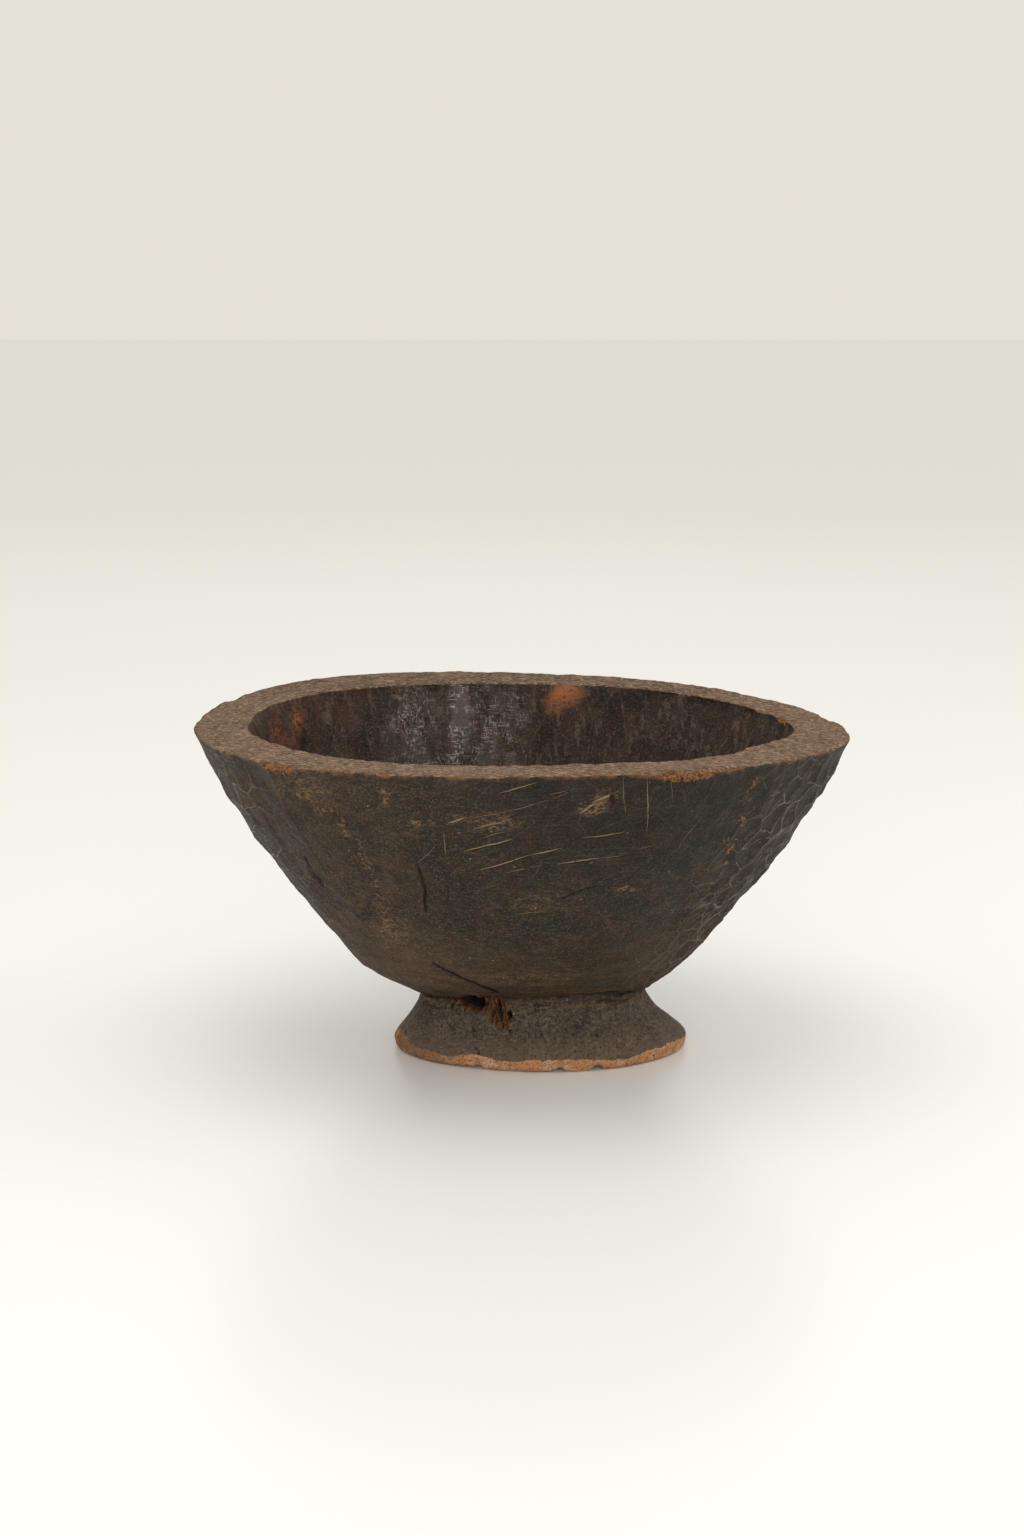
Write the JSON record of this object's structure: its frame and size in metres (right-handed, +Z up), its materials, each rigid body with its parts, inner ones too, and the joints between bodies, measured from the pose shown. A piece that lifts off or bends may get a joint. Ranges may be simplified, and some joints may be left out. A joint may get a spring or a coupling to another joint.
{
  "type": "carved wooden bowl",
  "caption": "Deep oval hand-carved wooden bowl with a thick dipping rim, straight flaring walls and a low flared foot below a sharp neck.",
  "frame": {"origin": "centre of the bowl's overall footprint, at the height the foot stands on", "axes": "+Z up out of the bowl's mouth, +X along the long way of the oval towards its sharper tip, +Y towards the back"},
  "size_m": [0.3801, 0.304, 0.198],
  "materials": {
    "dark_wood": "aged, smoked and handled surface with raw wood at the chips"
  },
  "bodies": {
    "root": {"carved_bowl": "dark_wood"}
  },
  "joints": []
}
